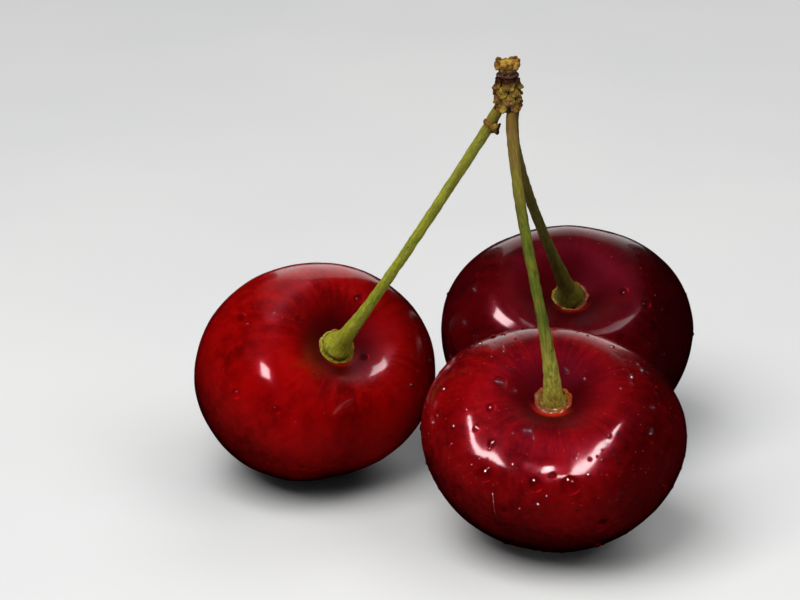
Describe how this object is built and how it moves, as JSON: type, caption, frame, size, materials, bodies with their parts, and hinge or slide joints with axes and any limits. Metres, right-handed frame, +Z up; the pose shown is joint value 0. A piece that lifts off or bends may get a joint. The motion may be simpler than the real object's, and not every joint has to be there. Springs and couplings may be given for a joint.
{
  "type": "cherry cluster",
  "caption": "Ripe sweet cherries joined by nature: long stems that meet at one scaly woody spur, standing on their fruits with the stems up.",
  "frame": {"origin": "on the surface that the fruits stand on, under the middle of the cluster's box", "axes": "+Z up; -Y is the front, the side that the nearest fruit and its stem face; +X to the right seen from the front"},
  "size_m": [0.0534, 0.048, 0.0537],
  "materials": {
    "skin_front": "glossy crimson fruit skin with lighter flecks, wet",
    "skin_left": "glossy scarlet fruit skin",
    "skin_back": "glossy dark maroon fruit skin",
    "stem": "satin yellow-green stem with tan streaks",
    "spur_bark": "rough brown bark",
    "bud_scale": "dry papery straw brown",
    "water": "clear water drops"
  },
  "bodies": {
    "root": {"cherry_front": "skin_front", "cherry_left": "skin_left", "cherry_back": "skin_back", "stem_front": "stem", "stem_left": "stem", "stem_back": "stem", "spur": "spur_bark", "bud_scale_1_1": "bud_scale", "bud_scale_1_2": "bud_scale", "bud_scale_1_3": "bud_scale", "bud_scale_1_4": "bud_scale", "bud_scale_1_5": "bud_scale", "bud_scale_2_1": "bud_scale", "bud_scale_2_2": "bud_scale", "bud_scale_2_3": "bud_scale", "bud_scale_2_4": "bud_scale", "bud_scale_2_5": "bud_scale", "bud_scale_3_1": "bud_scale", "bud_scale_3_2": "bud_scale", "bud_scale_3_3": "bud_scale", "bud_scale_3_4": "bud_scale", "bud_scale_3_5": "bud_scale", "bud_scale_4_1": "bud_scale", "bud_scale_4_2": "bud_scale", "bud_scale_4_3": "bud_scale", "bud_scale_4_4": "bud_scale", "bud_scale_4_5": "bud_scale", "crown_low_1": "bud_scale", "crown_low_2": "bud_scale", "crown_low_3": "bud_scale", "crown_low_4": "bud_scale", "crown_low_5": "bud_scale", "crown_high_1": "bud_scale", "crown_high_2": "bud_scale", "crown_high_3": "bud_scale", "crown_high_4": "bud_scale", "left_bract": "bud_scale"}
  },
  "joints": []
}
